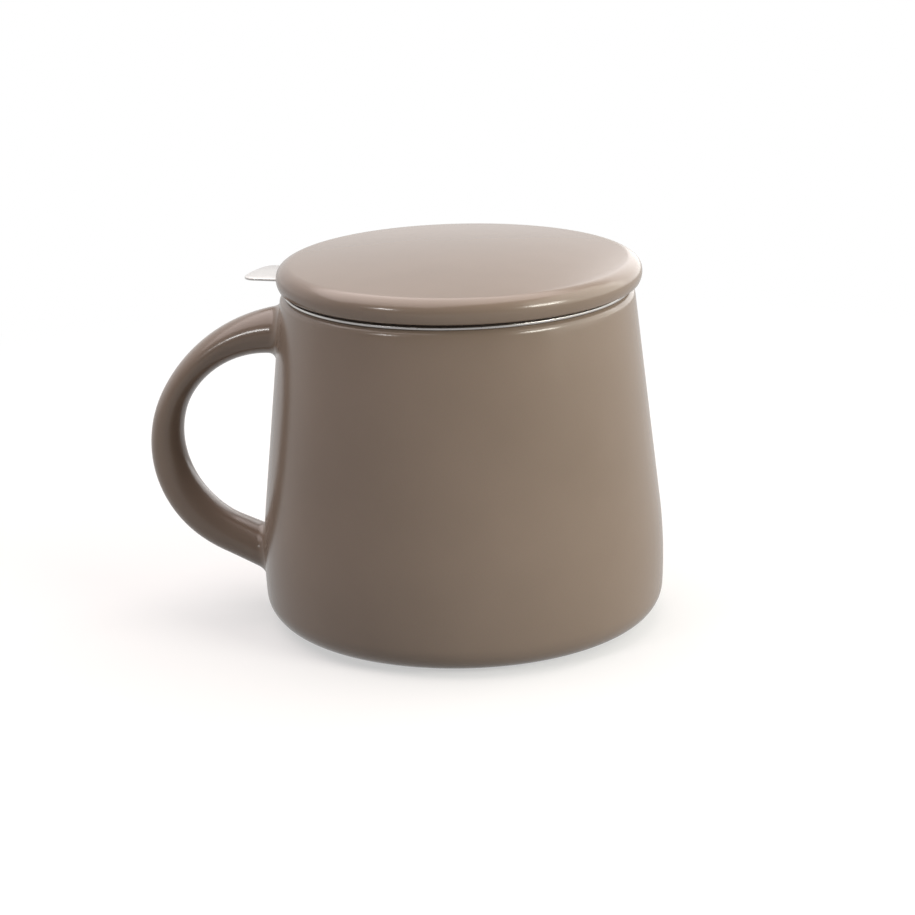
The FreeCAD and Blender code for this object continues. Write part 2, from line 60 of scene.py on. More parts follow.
camera = shown("camera", bpy.data.cameras.new("camera"))
camera.data.lens = camera_lens
camera.data.sensor_width = camera_sensor
camera.data.clip_start = nearest_seen
camera.location = camera_at
camera.rotation_mode = "QUATERNION"
look = (camera_aim - camera_at).to_track_quat("-Z", "Y")
camera.rotation_quaternion = look @ Quaternion((0, 0, 1), camera_roll)
bpy.context.scene.camera = camera
bpy.context.scene.view_settings.view_transform = "Standard"


# The mug stands on a white sheet in a white room whose end behind the camera is dark. Broad soft
# lights stand on the right, overhead, behind and on the left, and a small one on each side draws
# a streak on the glaze. The camera sees plain white round the mug and a pale shadow under it.
def nodes_of(owner):
    """The node tree of a material or world, emptied, with a short way to add and join nodes."""
    owner.use_nodes = True
    tree = owner.node_tree
    tree.nodes.clear()

    def add(kind, inputs=None, **settings):
        node = tree.nodes.new(kind)
        for key, value in settings.items():
            setattr(node, key, value)
        for key, value in (inputs or {}).items():
            if isinstance(value, bpy.types.NodeSocket):
                tree.links.new(value, node.inputs[key])
            else:
                node.inputs[key].default_value = value
        return node

    return add


room_fill = 0.07
dark_end = 0.12
dark_until = -0.4
white_from = 0.3
near_sheet = 0.55
far_sheet = 0.75
near_until = -0.1
far_from = 0.15
hidden_paper = 0.36
seen_paper = 0.9
shadow_reach = 0.34
shadow_fade = 0.5

white_room = bpy.data.worlds.new("white_room")
bpy.context.scene.world = white_room
add = nodes_of(white_room)
path = add("ShaderNodeLightPath")
seen = add("ShaderNodeMath", {0: path.outputs["Is Camera Ray"], 1: path.outputs["Is Transmission Ray"]},
           operation="MAXIMUM")
towards = add("ShaderNodeTexCoord").outputs["Generated"]
depth = add("ShaderNodeSeparateXYZ", {"Vector": towards}).outputs["Y"]
walls = add("ShaderNodeMapRange", {"Value": depth, "From Min": dark_until, "From Max": white_from,
                                   "To Min": dark_end, "To Max": 1.0}, interpolation_type="SMOOTHSTEP")
mirrored = add("ShaderNodeMath", {0: path.outputs["Is Glossy Ray"], 1: walls.outputs[0]},
               operation="MULTIPLY")
white = add("ShaderNodeMath", {0: seen.outputs[0], 1: mirrored.outputs[0]}, operation="MAXIMUM")
level = add("ShaderNodeMath", {0: white.outputs[0], 1: room_fill}, operation="MAXIMUM")
glow = add("ShaderNodeBackground", {"Color": (1, 1, 1, 1), "Strength": level.outputs[0]})
add("ShaderNodeOutputWorld", {"Surface": glow.outputs[0]})

floor_half = 3.0
floor_drop = 0.05 * mm
floor_mesh = bpy.data.meshes.new("floor")
floor_corners = np.array([(-1, -1, 0), (1, -1, 0), (1, 1, 0), (-1, 1, 0)]) * floor_half
floor_corners[:, 2] = -floor_drop
floor_mesh.from_pydata(floor_corners.tolist(), [], [(0, 1, 2, 3)])
floor = shown("floor", floor_mesh)
floor_white = bpy.data.materials.new("floor_white")
add = nodes_of(floor_white)
path = add("ShaderNodeLightPath")
seen = add("ShaderNodeMath", {0: path.outputs["Is Camera Ray"], 1: path.outputs["Is Transmission Ray"]},
           operation="MAXIMUM")
place = add("ShaderNodeTexCoord").outputs["Object"]
away = add("ShaderNodeVectorMath", {0: place}, operation="LENGTH")
far = add("ShaderNodeMapRange", {"Value": away.outputs["Value"], "From Min": shadow_reach / 2,
                                 "From Max": shadow_reach, "To Min": shadow_fade},
          interpolation_type="SMOOTHSTEP")
depth = add("ShaderNodeSeparateXYZ", {"Vector": place}).outputs["Y"]
sweep = add("ShaderNodeMapRange", {"Value": depth, "From Min": near_until, "From Max": far_from,
                                   "To Min": near_sheet, "To Max": far_sheet},
            interpolation_type="SMOOTHSTEP")
bright = add("ShaderNodeMath", {0: sweep.outputs[0], 1: seen.outputs[0]}, operation="MAXIMUM")
plain = add("ShaderNodeMath", {0: far.outputs[0], 1: seen.outputs[0]}, operation="MULTIPLY")
share = add("ShaderNodeMath", {0: plain.outputs[0], 1: path.outputs["Is Glossy Ray"]},
            operation="MAXIMUM")
tone = add("ShaderNodeMapRange", {"Value": seen.outputs[0], "To Min": hidden_paper,
                                  "To Max": seen_paper})
paper = add("ShaderNodeBsdfDiffuse", {"Color": tone.outputs[0]})
blank = add("ShaderNodeEmission", {"Color": (1, 1, 1, 1), "Strength": bright.outputs[0]})
sheet = add("ShaderNodeMixShader", {0: share.outputs[0], 1: paper.outputs[0], 2: blank.outputs[0]})
add("ShaderNodeOutputMaterial", {"Surface": sheet.outputs[0]})
floor_mesh.materials.append(floor_white)


def soft_light(name, place, aim, size, power, tint=(1, 1, 1)):
    """A rectangular area light of a power in watts, at a place and turned to an aim."""
    lamp = bpy.data.lights.new(name, "AREA")
    lamp.shape = "RECTANGLE"
    lamp.size, lamp.size_y = size
    lamp.energy = power
    lamp.color = tint
    made = shown(name, lamp)
    made.location = place
    made.rotation_mode = "QUATERNION"
    made.rotation_quaternion = (Vector(aim) - Vector(place)).to_track_quat("-Z", "Y")


mug_middle = (0, 0, 0.05)
soft_light("key", (0.81, -0.44, 0.39), mug_middle, (0.36, 0.20), 4.8, (1.0, 0.99, 0.90))
soft_light("side", (1.15, 0.15, 0.68), mug_middle, (1.8, 1.5), 16.0, (1.0, 0.99, 0.90))
soft_light("overhead", (-0.30, 0.20, 1.10), mug_middle, (1.8, 1.4), 17.5, (1.0, 0.89, 0.87))
soft_light("left_fill", (-0.90, -0.30, 0.35), mug_middle, (0.6, 0.6), 0.3)
soft_light("left_strip", (-0.59, -0.69, 0.48), mug_middle, (0.13, 0.05), 1.2)
soft_light("rear", (0.50, 0.95, 0.38), mug_middle, (1.1, 0.8), 4.0)


# The cup is slip-cast stoneware, 4 mm thick, wider at its base than at its mouth, with a soft lip
# and a low foot ring. Satin taupe glaze covers it all but the ring, which is wiped bare to stand
# on the kiln shelf.
lip_height = 83.1 * mm
mouth_radius = 39.0 * mm
cup_wall = 4.25 * mm
belly_radius = 50.0 * mm
belly_height = 15.2 * mm
belly_arc = 126.0 * mm
base_corner = 7.1 * mm
inner_corner = 12.0 * mm
floor_height = 6.0 * mm
foot_radius = 40.5 * mm
foot_width = 4.5 * mm
foot_height = 0.8 * mm
foot_recess = 1.8 * mm
foot_rounds = np.array([0.6, 0.7, 0.7, 0.35]) * mm
lip_rounds = np.array([2.0, 1.8]) * mm
bare_height = 0.45 * mm
round_steps = 192
outline_gap = 1.6 * mm


def arc(centre, radius, start, end, steps):
    """Points of a circle from one angle to another: centre + radius * (cos a, sin a)."""
    angle = np.linspace(start, end, steps)
    return np.stack([centre[0] + radius * np.cos(angle), centre[1] + radius * np.sin(angle)], 1)


def contact(point, centre, radius):
    """Angle at which the tangent from an outer point touches a circle, on its right side."""
    away = np.subtract(point, centre)
    return math.atan2(away[1], away[0]) - math.acos(radius / np.hypot(*away))


def softened(line, radii, steps=9):
    """A line whose corners are turned into arcs: each arc's centre lies on the corner's bisector,
    radius / sin(half angle) from it. A radius of zero keeps the corner."""
    line = np.asarray(line, float)
    runs = [line[:1]]
    for before, here, after, radius in zip(line[:-2], line[1:-1], line[2:], radii[1:-1]):
        if radius == 0:
            runs.append(here[None])
            continue
        back = (before - here) / np.linalg.norm(before - here)
        on = (after - here) / np.linalg.norm(after - here)
        half = math.acos(np.clip(back @ on, -1, 1)) / 2
        middle = here + (back + on) / np.linalg.norm(back + on) * radius / math.sin(half)
        first = here + back * radius / math.tan(half) - middle
        last = here + on * radius / math.tan(half) - middle
        start = math.atan2(first[1], first[0])
        sweep = (math.atan2(last[1], last[0]) - start + math.pi) % (2 * math.pi) - math.pi
        runs.append(arc(middle, radius, start, start + sweep, steps))
    runs.append(line[-1:])
    return np.concatenate(runs)


def evened(line, gap):
    """The same line with points added along its long stretches, none further apart than gap."""
    steps = np.maximum(1, np.ceil(np.linalg.norm(np.diff(line, axis=0), axis=1) / gap)).astype(int)
    start = np.repeat(np.arange(len(steps)), steps)
    share = (np.arange(len(start)) - np.repeat(np.cumsum(steps) - steps, steps)) / steps[start]
    inner = line[start] + (line[start + 1] - line[start]) * share[:, None]
    return np.concatenate([inner, line[-1:]])


def piece(name, points, faces):
    """A smooth-shaded object from points and equal-sided faces; points that no face uses are left
    out. If the faces enclose a negative volume, the sum of a . (b x c) over their triangles, they
    are turned round to face outwards."""
    points = np.asarray(points, float).reshape(-1, 3)
    volume = 0.0
    for group in faces:
        a = points[group[:, 0]]
        for step in range(1, group.shape[1] - 1):
            volume += np.sum(a * np.cross(points[group[:, step]], points[group[:, step + 1]]))
    if volume < 0:
        faces = [group[:, ::-1] for group in faces]
    mesh = bpy.data.meshes.new(name)
    used, loops = np.unique(np.concatenate([group.ravel() for group in faces]), return_inverse=True)
    points, loops = points[used], loops.ravel().astype(np.int32)
    sides = np.concatenate([np.full(len(group), group.shape[1]) for group in faces]).astype(np.int32)
    mesh.vertices.add(len(points))
    mesh.vertices.foreach_set("co", points.astype(np.float32).ravel())
    mesh.loops.add(len(loops))
    mesh.loops.foreach_set("vertex_index", loops)
    mesh.polygons.add(len(sides))
    mesh.polygons.foreach_set("loop_start", (np.cumsum(sides) - sides).astype(np.int32))
    mesh.polygons.foreach_set("use_smooth", np.ones(len(sides), bool))
    mesh.update(calc_edges=True)
    mesh.validate()
    return shown(name, mesh)


def grid_faces(rows, columns, joined_rows=False):
    """Corner numbers of the squares of a grid that closes round its columns, and along its rows
    too if they are joined."""
    row = np.arange(rows if joined_rows else rows - 1)[:, None]
    column = np.arange(columns)[None, :]
    next_row, next_column = (row + 1) % rows, (column + 1) % columns
    corners = [row * columns + column, row * columns + next_column,
               next_row * columns + next_column, next_row * columns + column]
    return np.stack(corners, -1).reshape(-1, 4)


def thrown(name, outline, steps=round_steps):
    """A body turned about the mug's axis from an outline of (radius, height): each point goes
    round as (r cos a, r sin a, z). An outline that starts and ends on the axis closes in two
    poles, and any other is a closed loop."""
    angle = np.linspace(0, 2 * np.pi, steps, endpoint=False)
    poles = outline[0, 0] == 0
    rings = outline[1:-1] if poles else outline
    radius, height = rings[:, :1], rings[:, 1:]
    grid = np.stack([radius * np.cos(angle), radius * np.sin(angle),
                     height + 0 * angle], -1)
    count = len(rings)
    squares = grid_faces(count, steps, joined_rows=not poles)
    if not poles:
        return piece(name, grid, [squares])
    points = np.concatenate([grid.reshape(-1, 3), [(0, 0, outline[0, 1]), (0, 0, outline[-1, 1])]])
    here = np.arange(steps)
    beside = (here + 1) % steps
    top = (count - 1) * steps
    first_fan = np.stack([beside, here, np.full(steps, count * steps)], 1)
    last_fan = np.stack([top + here, top + beside, np.full(steps, count * steps + 1)], 1)
    return piece(name, points, [squares, first_fan, last_fan])


belly_middle = np.array([belly_radius - belly_arc, belly_height])
lip_outside = (mouth_radius + cup_wall, lip_height)
corner_reach = belly_arc - base_corner
corner_z = foot_height + base_corner
corner_x = belly_middle[0] + math.sqrt(corner_reach ** 2 - (corner_z - belly_height) ** 2)
belly_end = math.atan2(corner_z - belly_height, corner_x - belly_middle[0])
taper = contact(lip_outside, belly_middle, belly_arc)
outside = np.concatenate([
    arc((corner_x, corner_z), base_corner, -math.pi / 2, belly_end, 16),
    arc(belly_middle, belly_arc, belly_end, taper, 20)[1:],
])
inner_arc = belly_arc - cup_wall
inner_reach = inner_arc - inner_corner
inner_z = floor_height + inner_corner
inner_x = belly_middle[0] + math.sqrt(inner_reach ** 2 - (inner_z - belly_height) ** 2)
inner_end = math.atan2(inner_z - belly_height, inner_x - belly_middle[0])
inner_taper = contact((mouth_radius, lip_height), belly_middle, inner_arc)
inside = np.concatenate([
    arc(belly_middle, inner_arc, inner_taper, inner_end, 20),
    arc((inner_x, inner_z), inner_corner, inner_end, -math.pi / 2, 16)[1:],
])
foot_inside = foot_radius - foot_width
under = [(0, foot_recess), (foot_inside, foot_recess), (foot_inside, 0), (foot_radius, 0),
         (foot_radius, foot_height)]
cup_line = np.concatenate([under, outside, [lip_outside, (mouth_radius, lip_height)], inside,
                           [(0, floor_height)]])
cup_radii = np.zeros(len(cup_line))
cup_radii[1:5] = foot_rounds
lip_at = len(under) + len(outside)
cup_radii[lip_at:lip_at + 2] = lip_rounds
cup_outline = evened(softened(cup_line, cup_radii), outline_gap)
cup = thrown("cup", cup_outline)

glaze_dark = (0.222, 0.168, 0.130, 1)
glaze_light = (0.246, 0.187, 0.146, 1)
glaze_rough = (0.17, 0.23)
glaze_ior = 1.5
bare_clay = (0.56, 0.47, 0.37, 1)
clay_rough = 0.85


def satin_glaze(name, bare_below=None):
    """Taupe stoneware glaze: a base tone that drifts a little over the piece, a faint orange-peel
    surface under a satin gloss, and bare stoneware below a height if one is given."""
    glaze = bpy.data.materials.new(name)
    add = nodes_of(glaze)
    place = add("ShaderNodeTexCoord").outputs["Object"]
    drift = add("ShaderNodeTexNoise", {"Vector": place, "Scale": 28.0, "Detail": 3.0})
    tone = add("ShaderNodeValToRGB", {"Fac": drift.outputs["Fac"]})
    tone.color_ramp.elements[0].position = 0.3
    tone.color_ramp.elements[0].color = glaze_dark
    tone.color_ramp.elements[1].position = 0.7
    tone.color_ramp.elements[1].color = glaze_light
    grain = add("ShaderNodeTexNoise", {"Vector": place, "Scale": 2600.0, "Detail": 2.0})
    fleck = add("ShaderNodeMix", {"Factor": 0.05, "A": tone.outputs["Color"],
                                  "B": grain.outputs["Color"]},
                data_type="RGBA", blend_type="SOFT_LIGHT")
    colour = [socket for socket in fleck.outputs if socket.type == "RGBA"][0]
    peel = add("ShaderNodeTexNoise", {"Vector": place, "Scale": 420.0, "Detail": 2.0})
    gloss = add("ShaderNodeMapRange", {"Value": drift.outputs["Fac"], "To Min": glaze_rough[0],
                                       "To Max": glaze_rough[1]})
    rough = gloss.outputs[0]
    bump = add("ShaderNodeBump", {"Height": peel.outputs["Fac"], "Strength": 0.06,
                                  "Distance": 0.0003})
    if bare_below is not None:
        height = add("ShaderNodeSeparateXYZ", {"Vector": place}).outputs["Z"]
        wander = add("ShaderNodeMath", {0: drift.outputs["Fac"], 1: 0.0004}, operation="MULTIPLY")
        wavy = add("ShaderNodeMath", {0: height, 1: wander.outputs[0]}, operation="ADD")
        bare = add("ShaderNodeMapRange", {"Value": wavy.outputs[0], "From Min": bare_below,
                                          "From Max": bare_below + 0.00012,
                                          "To Min": 1.0, "To Max": 0.0}).outputs[0]
        clay = add("ShaderNodeMix", {"Factor": bare, "A": colour, "B": bare_clay},
                   data_type="RGBA")
        colour = [socket for socket in clay.outputs if socket.type == "RGBA"][0]
        rough = add("ShaderNodeMapRange", {"Value": bare, "To Min": rough,
                                           "To Max": clay_rough}).outputs[0]
    shader = add("ShaderNodeBsdfPrincipled", {"Base Color": colour, "Roughness": rough,
                                              "Normal": bump.outputs[0], "IOR": glaze_ior})
    add("ShaderNodeOutputMaterial", {"Surface": shader.outputs[0]})
    return glaze


cup.data.materials.append(satin_glaze("cup_glaze", bare_below=bare_height))
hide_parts("mug_body")
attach(cup, "mug")


# The grip is a pulled loop of oval section, slimmest on its upper bend, luted to the wall with
# slip at both ends. The slip is smoothed into a small hollow fillet all round each joint.
grip_root = np.array([-40.0, 72.1]) * mm
grip_foot = np.array([-44.0, 12.75]) * mm
grip_reach = 74.7 * mm
grip_bulge_height = 43.255 * mm
top_bend = 32.125 * mm
side_bend = 26.225 * mm
grip_places = np.array([0, 0.093, 0.186, 0.278, 0.371, 0.487, 0.602, 0.718, 0.833, 0.917, 1])
grip_depths = np.array([13.5, 10.74, 8.7, 7.41, 6.95, 7.87, 9.18, 10, 10, 10.23, 10.6]) * mm
grip_widths = np.array([16.5, 13.46, 12.08, 12, 12, 12, 12, 12, 12.18, 14.25, 16.5]) * mm
joint_fillet = 2.2 * mm
buried = 0.8 * mm
root_reach = 22 * mm
foot_reach = 28 * mm
halvings = 40
grip_steps, grip_rings = 72, 180


def circles_meet(one, reach_one, two, reach_two, side):
    """The point at given distances from two others, on one side of the line between them."""
    gap = np.linalg.norm(two - one)
    along = (reach_one ** 2 - reach_two ** 2 + gap ** 2) / (2 * gap)
    off = side * math.sqrt(reach_one ** 2 - along ** 2)
    line = (two - one) / gap
    return one + line * along + np.array([-line[1], line[0]]) * off


side_middle = np.array([side_bend - grip_reach, grip_bulge_height])
top_middle = circles_meet(grip_root, top_bend, side_middle, top_bend - side_bend, 1)
halfway = (side_middle + grip_foot) / 2
run_start = circles_meet(side_middle, side_bend, halfway, np.linalg.norm(halfway - side_middle), -1)


def bearing(point, middle):
    """Angle of a point about a middle, from 0 to a full turn."""
    return math.atan2(point[1] - middle[1], point[0] - middle[0]) % (2 * math.pi)


bends = [(top_middle, top_bend, bearing(grip_root, top_middle), bearing(side_middle, top_middle)),
         (side_middle, side_bend, bearing(side_middle, top_middle), bearing(run_start, side_middle))]
bend_lengths = [radius * (end - start) for _, radius, start, end in bends]
run_length = np.linalg.norm(grip_foot - run_start)
grip_length = sum(bend_lengths) + run_length


def spine(s):
    """Middle of the grip at a distance s along it, and the direction out of its bend: two arcs,
    then a straight run, each tangent to the last."""
    (m1, r1, a1, _), (m2, r2, a2, b2) = bends
    first, second = bend_lengths
    angle = np.where(s < first, a1 + s / r1, a2 + np.clip(s - first, 0, second) / r2)
    out = np.stack([np.cos(angle), np.sin(angle)], -1)
    on_first = (s < first)[..., None]
    middle = np.where(on_first, m1 + out * r1, m2 + out * r2)
    past = np.clip(s - first - second, 0, None)[..., None]
    ahead = (grip_foot - run_start) / run_length
    return middle + past * ahead, out


def through(places, values, at):
    """A smooth curve through values at places: cubic Hermite pieces, with each slope the mean of
    its neighbours' and level at both ends."""
    slopes = np.gradient(values, places)
    slopes[[0, -1]] = np.diff(values)[[0, -1]] / np.diff(places)[[0, -1]]
    piece_at = np.clip(np.searchsorted(places, at, side="right") - 1, 0, len(places) - 2)
    width = np.diff(places)[piece_at]
    t = (at - places[piece_at]) / width
    before, after = values[piece_at], values[piece_at + 1]
    return ((2 * t ** 3 - 3 * t ** 2 + 1) * before + (t ** 3 - 2 * t ** 2 + t) * width * slopes[piece_at]
            + (3 * t ** 2 - 2 * t ** 3) * after + (t ** 3 - t ** 2) * width * slopes[piece_at + 1])


wall_line = np.concatenate([outside, [lip_outside]])


def off_wall(points):
    """How far points lie outside the cup's wall, measured level."""
    return np.hypot(points[..., 0], points[..., 1]) - np.interp(points[..., 2], wall_line[:, 1],
                                                                wall_line[:, 0])


def moved_off(points, distance):
    """The same points moved level, towards or away from the axis, by a distance."""
    radius = np.hypot(points[..., 0], points[..., 1])
    factor = (radius + distance) / radius
    return points * np.stack([factor, factor, np.ones_like(factor)], -1)


def grip_skin(s, turn):
    """Plain skin of the grip: spine + oval of half depth * cos(turn) outwards and half width *
    sin(turn) sideways. Also returns the skin's direction within its section."""
    middle, out = spine(s)
    deep = through(grip_places, grip_depths, s / grip_length) / 2
    wide = through(grip_places, grip_widths, s / grip_length) / 2
    off = deep * np.cos(turn)
    skin = np.stack([middle[..., 0] + out[..., 0] * off, wide * np.sin(turn),
                     middle[..., 1] + out[..., 1] * off], -1)
    up, side = np.cos(turn) / deep, np.sin(turn) / wide
    size = np.hypot(up, side)
    facing = np.stack([out[..., 0] * up, side, out[..., 1] * up], -1) / size[..., None]
    return skin, facing


def wall_crossing(turn, inner, outer):
    """Distance along the grip at which its skin leaves the wall, halving from a place inside the
    wall and one outside."""
    inner = np.full_like(turn, inner)
    outer = np.full_like(turn, outer)
    for _ in range(halvings):
        between = (inner + outer) / 2
        clear = off_wall(grip_skin(between, turn)[0]) > 0
        outer = np.where(clear, between, outer)
        inner = np.where(clear, inner, between)
    return outer


turn = np.linspace(0, 2 * np.pi, grip_steps, endpoint=False)
from_s = wall_crossing(turn, 0.0, root_reach)
to_s = wall_crossing(turn, grip_length, grip_length - foot_reach)
share = (1 - np.cos(np.linspace(0, np.pi, grip_rings))) / 2
s = from_s + (to_s - from_s) * share[:, None]
skin, facing = grip_skin(s, turn + 0 * s)
height_off = np.clip(off_wall(skin), 0, None)
short = np.clip(joint_fillet - height_off, 0, None)
swell = joint_fillet - np.sqrt(joint_fillet ** 2 - short ** 2)
grown = skin + facing * swell[..., None]
grown = moved_off(grown, height_off - off_wall(grown))
grid = np.concatenate([moved_off(grown[:1], -buried), grown, moved_off(grown[-1:], -buried)])
ends = np.stack([grid[0].mean(0), grid[-1].mean(0)])
here = np.arange(grip_steps)
beside = (here + 1) % grip_steps
rows = len(grid)
root_fan = np.stack([beside, here, np.full(grip_steps, rows * grip_steps)], 1)
last = (rows - 1) * grip_steps
foot_fan = np.stack([last + here, last + beside, np.full(grip_steps, rows * grip_steps + 1)], 1)
grip = piece("grip", np.concatenate([grid.reshape(-1, 3), ends]),
             [grid_faces(rows, grip_steps), root_fan, foot_fan])
grip.data.materials.append(satin_glaze("grip_glaze"))
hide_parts("mug_handle")
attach(grip, "mug")


# The lid is a pressed stoneware disc with a soft edge and a faintly domed top. It rests loose on
# the strainer's rim, on a bare ring, and a locating ring underneath keeps it from sliding off. It
# lies half a millimetre off centre, inside the play of that ring.
rim_sheet = 0.6 * mm
flange_radius = 42.35 * mm
collar_radius = mouth_radius - 0.8 * mm
seam_gap = 0.1 * mm
basket_sheet = 0.4 * mm
basket_radius = collar_radius - rim_sheet - seam_gap
rest_height = lip_height + rim_sheet
lid_radius = 44.65 * mm
lid_edge_height = rest_height + 3.45 * mm
lid_top = rest_height + 8.9 * mm
dome_arc = 400.0 * mm
shoulder_arc = 5.0 * mm
edge_arc = 3.0 * mm
under_edge_arc = 4.5 * mm
under_arc = 1.0 * mm
lid_under = rest_height + 0.85 * mm
rest_radius = flange_radius - 2.0 * mm
spigot_radius = basket_radius - basket_sheet - 1.0 * mm
spigot_bore = spigot_radius - 3.2 * mm
spigot_end = rest_height - 5.0 * mm
lid_ceiling = rest_height + 1.8 * mm
under_rounds = np.array([2.0, 0.8, 0.8, 0.5, 0.3, 0.3]) * mm
bare_ring = 0.02 * mm
lid_drift = 0.5 * mm

low_middle = np.array([lid_radius - under_edge_arc, lid_edge_height])
under_z = lid_under + under_arc
under_x = low_middle[0] + math.sqrt((under_edge_arc - under_arc) ** 2
                                    - (under_z - low_middle[1]) ** 2)
under_turn = math.atan2(under_z - low_middle[1], under_x - low_middle[0])
high_middle = np.array([lid_radius - edge_arc, lid_edge_height])
dome_middle = np.array([0.0, lid_top - dome_arc])
shoulder = circles_meet(high_middle, shoulder_arc - edge_arc, dome_middle, dome_arc - shoulder_arc, -1)
edge_turn = math.atan2(*(high_middle - shoulder)[::-1])
dome_turn = math.atan2(*(shoulder - dome_middle)[::-1])
lid_line = np.concatenate([
    [(0, lid_ceiling), (spigot_bore, lid_ceiling), (spigot_bore, spigot_end),
     (spigot_radius, spigot_end), (spigot_radius, rest_height), (rest_radius, rest_height),
     (rest_radius, lid_under)],
    arc((under_x, under_z), under_arc, -math.pi / 2, under_turn, 8),
    arc(low_middle, under_edge_arc, under_turn, 0, 10)[1:],
    arc(high_middle, edge_arc, 0, edge_turn, 14)[1:],
    arc(shoulder, shoulder_arc, edge_turn, dome_turn, 12)[1:],
    arc(dome_middle, dome_arc, dome_turn, math.pi / 2, 30)[1:],
])
# The dome ends on the axis to the last digit, so that its top closes in a pole.
lid_line[-1, 0] = 0
lid_radii = np.zeros(len(lid_line))
lid_radii[1:7] = under_rounds
lid = thrown("lid_disc", evened(softened(lid_line, lid_radii), outline_gap))
lid.data.transform(Matrix.Translation((lid_drift, 0, 0)))
lid.data.materials.append(satin_glaze("lid_glaze", bare_below=rest_height + bare_ring))
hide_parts("lid")
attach(lid, "lid")


# The strainer's rim is pressed from 0.6 mm stainless sheet: a flat flange that lies on the lip, a
# lifting tab cut in one with it, and a collar drawn down into the mouth. The edges are tumbled.
collar_bend = 0.6 * mm
collar_end = lip_height - 10.0 * mm
tab_reach = 56.0 * mm
tab_bearing = math.radians(180 - 15.4)
tab_slope = math.radians(8.3)
tab_tip_arc = 29.0 * mm
tab_corner = 2.9 * mm
tab_root_fillet = 2.0 * mm
sheet_edge = 0.12 * mm
merge_gap = 1e-6
crisp_angle = math.radians(35)


def plate(name, outlines, low, thickness, edge=0.0):
    """A flat plate between closed outlines of (x, y), the first its edge and the others holes,
    as a filled flat curve with its thickness and edge rounding, turned into a mesh."""
    drawn = bpy.data.curves.new(name, "CURVE")
    drawn.dimensions = "2D"
    drawn.fill_mode = "BOTH"
    drawn.extrude = thickness / 2 - edge
    drawn.bevel_depth = edge
    drawn.bevel_resolution = 2
    drawn.offset = -edge
    for outline in outlines:
        run = drawn.splines.new("POLY")
        run.points.add(len(outline) - 1)
        corners = np.zeros((len(outline), 4))
        corners[:, :2] = outline
        corners[:, 3] = 1
        run.points.foreach_set("co", corners.ravel())
        run.use_cyclic_u = True
    curve = shown(name + "_line", drawn)
    bpy.context.view_layer.update()
    mesh = bpy.data.meshes.new_from_object(curve.evaluated_get(bpy.context.evaluated_depsgraph_get()))
    bpy.data.objects.remove(curve)
    points = np.zeros(len(mesh.vertices) * 3, np.float32)
    mesh.vertices.foreach_get("co", points)
    points = points.reshape(-1, 3)
    points[:, 2] += low + thickness / 2
    mesh.vertices.foreach_set("co", points.ravel())
    made = shown(name, mesh)
    tidy(made)
    return made


def tidy(made):
    """Merges points that lie together, points the faces outwards and keeps real corners crisp."""
    held = bmesh.new()
    held.from_mesh(made.data)
    bmesh.ops.remove_doubles(held, verts=held.verts, dist=merge_gap)
    bmesh.ops.recalc_face_normals(held, faces=held.faces)
    held.to_mesh(made.data)
    held.free()
    made.data.polygons.foreach_set("use_smooth", np.ones(len(made.data.polygons), bool))
    made.data.set_sharp_from_angle(angle=crisp_angle)


def joined(main, *others):
    """One object made of several."""
    with bpy.context.temp_override(active_object=main, object=main, selected_objects=[main, *others],
                                   selected_editable_objects=[main, *others]):
        bpy.ops.object.join()
    return main


# The tab's outline, drawn towards +X: flange edge, root fillet, straight side, corner, tip.
fillet_along = math.sqrt((flange_radius + tab_root_fillet) ** 2 - tab_root_fillet ** 2)
side_way = np.array([math.cos(tab_slope), math.sin(tab_slope)])
side_out = np.array([-side_way[1], side_way[0]])
fillet_middle = side_way * fillet_along + side_out * tab_root_fillet
fillet_turn = math.atan2(fillet_middle[1], fillet_middle[0])
tip_x = tab_reach - tab_tip_arc
corner_start = tab_corner / math.sin(tab_slope)
corner_gap = tip_x - corner_start
fold = tab_tip_arc - tab_corner
corner_along = (corner_gap * math.cos(tab_slope)
                + math.sqrt(fold ** 2 - (corner_gap * math.sin(tab_slope)) ** 2))
corner_middle = np.array([corner_start, 0]) + side_way * corner_along
tip_turn = math.atan2(corner_middle[1], corner_middle[0] - tip_x)
quarter = math.pi / 2
half_tab = np.concatenate([
    arc((tip_x, 0), tab_tip_arc, 0, tip_turn, 14),
    arc(corner_middle, tab_corner, tip_turn, tab_slope + quarter, 12)[1:],
    arc(fillet_middle, tab_root_fillet, tab_slope - quarter, fillet_turn - math.pi, 8),
])
mirror = half_tab[:0:-1] * (1, -1)
flange_edge = arc((0, 0), flange_radius, fillet_turn, 2 * math.pi - fillet_turn, 240)[1:-1]
rim_outline = np.concatenate([half_tab, flange_edge, mirror])
turned = np.array([[math.cos(tab_bearing), math.sin(tab_bearing)],
                   [-math.sin(tab_bearing), math.cos(tab_bearing)]])
collar_mouth = collar_radius + collar_bend
flange_hole = arc((0, 0), collar_mouth, 0, 2 * math.pi, round_steps + 1)[:-1]
flange = plate("rim", [rim_outline @ turned, flange_hole], lip_height, rim_sheet, sheet_edge)
bend_middle = (collar_mouth, lip_height - collar_bend)
collar_line = np.concatenate([
    arc(bend_middle, collar_bend + rim_sheet, quarter, math.pi, 10),
    [(collar_radius - rim_sheet, collar_end), (collar_radius, collar_end)],
    arc(bend_middle, collar_bend, math.pi, quarter, 8),
])
collar = thrown("collar", evened(np.concatenate([collar_line, collar_line[:1]]), 1.2 * mm)[:-1])
tidy(collar)
rim = joined(flange, collar)

steel_dark = (0.60, 0.585, 0.57, 1)
steel_light = (0.72, 0.70, 0.68, 1)
steel_rough = (0.2, 0.42)


